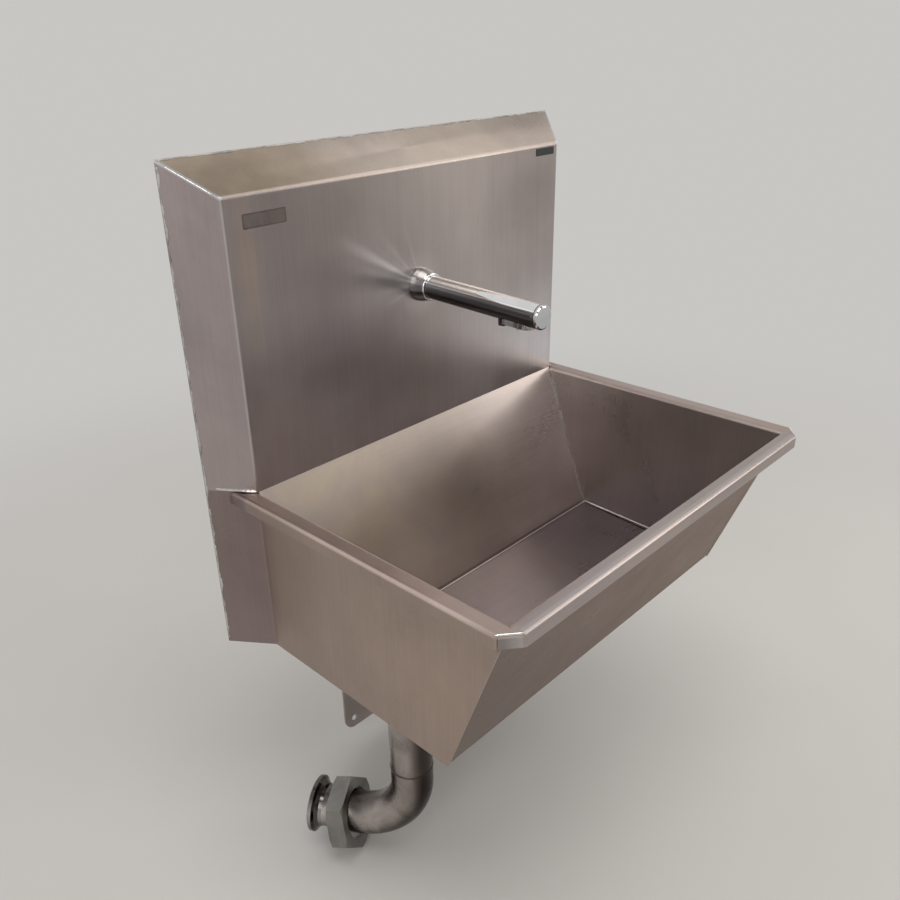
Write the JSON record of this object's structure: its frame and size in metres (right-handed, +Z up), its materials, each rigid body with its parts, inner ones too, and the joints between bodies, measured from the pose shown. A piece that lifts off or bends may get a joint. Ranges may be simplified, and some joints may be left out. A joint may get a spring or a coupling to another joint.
{
  "type": "wall-hung hand wash sink with sensor spout",
  "caption": "Wall-hung stainless steel hand wash sink with a boxed splashback, folded bowl, chrome sensor spout and waste elbow with union nut.",
  "frame": {"origin": "on the wall plane, on the sink's centre line, level with the lower edge of the side panels at the wall", "axes": "+X to the right of someone facing the sink, +Y into the wall, +Z up"},
  "size_m": [0.44, 0.313, 0.6232],
  "materials": {
    "satin_stainless": "satin, vertical grain on the splashback",
    "polished_stainless": "dull polish",
    "chrome": "mirror",
    "brass": "machined",
    "black_plastic": "matte",
    "pale_plastic": "matte",
    "green_lacquer": "lacquered board",
    "sensor_glass": "dark, polished",
    "black_rubber": "matte"
  },
  "bodies": {
    "sink_body": {"splash_box": "satin_stainless", "bowl_trough": "satin_stainless", "bowl_side_left": "satin_stainless", "bowl_side_right": "satin_stainless", "rim_corner_left": "satin_stainless", "rim_corner_right": "satin_stainless", "lower_wall_plate": "satin_stainless", "wall_hanger": "satin_stainless", "hanging_tongue": "satin_stainless", "waste_flange": "satin_stainless", "waste_tail_tube": "polished_stainless", "waste_elbow": "polished_stainless", "union_liner": "polished_stainless", "spout_collar": "chrome", "spout_tube": "chrome", "spout_end_cap": "chrome", "sensor_housing": "chrome", "sensor_window": "sensor_glass", "spout_water_tube": "pale_plastic", "spout_shank": "brass", "shank_washer": "black_rubber", "shank_backnut": "brass", "supply_elbow": "brass", "upper_compression_nut": "brass", "supply_tube": "chrome", "pipe_clip": "pale_plastic", "lower_compression_nut": "brass", "solenoid_body": "brass", "solenoid_coil": "black_plastic", "isolating_valve": "brass", "inlet_filter": "pale_plastic", "control_box": "pale_plastic", "cable_gland": "black_plastic", "battery_pack": "black_plastic", "circuit_board": "green_lacquer"},
    "union_nut_body": {"union_nut": "polished_stainless"},
    "strainer_body": {"waste_strainer": "satin_stainless"},
    "aerator_body": {"aerator": "chrome"},
    "plunger_body": {"solenoid_core": "satin_stainless", "solenoid_seat": "black_rubber"},
    "isolator_body": {"isolating_ball": "chrome", "isolating_lever": "black_plastic"},
    "lid_body": {"control_box_lid": "pale_plastic"}
  },
  "joints": [
    {"name": "union_nut_turn", "type": "hinge", "parent": "sink_body", "child": "union_nut_body", "pos_m": [-0.17108, -0.10185, -0.1753], "axis": [-0.4642, 0.8549, -0.2317], "continuous": true},
    {"name": "strainer_lift", "type": "slide", "parent": "sink_body", "child": "strainer_body", "axis": [0, -0.043, 0.9991], "range_m": [0, 0.06]},
    {"name": "aerator_unscrew", "type": "hinge", "parent": "sink_body", "child": "aerator_body", "pos_m": [0, -0.15196, 0.26694], "axis": [0, -0.0349, 0.9994], "continuous": true},
    {"name": "solenoid_plunger_slide", "type": "slide", "parent": "sink_body", "child": "plunger_body", "axis": [0, -1, 0], "range_m": [0, 0.0016], "stiffness_N_per_m": 300, "springref_m": -0.004},
    {"name": "isolating_lever_turn", "type": "hinge", "parent": "sink_body", "child": "isolator_body", "pos_m": [0, -0.017, -0.138], "axis": [0, 1, 0], "range_deg": [0, 90]},
    {"name": "control_lid_pull", "type": "slide", "parent": "sink_body", "child": "lid_body", "axis": [0, -1, 0], "range_m": [0, 0.04]}
  ]
}
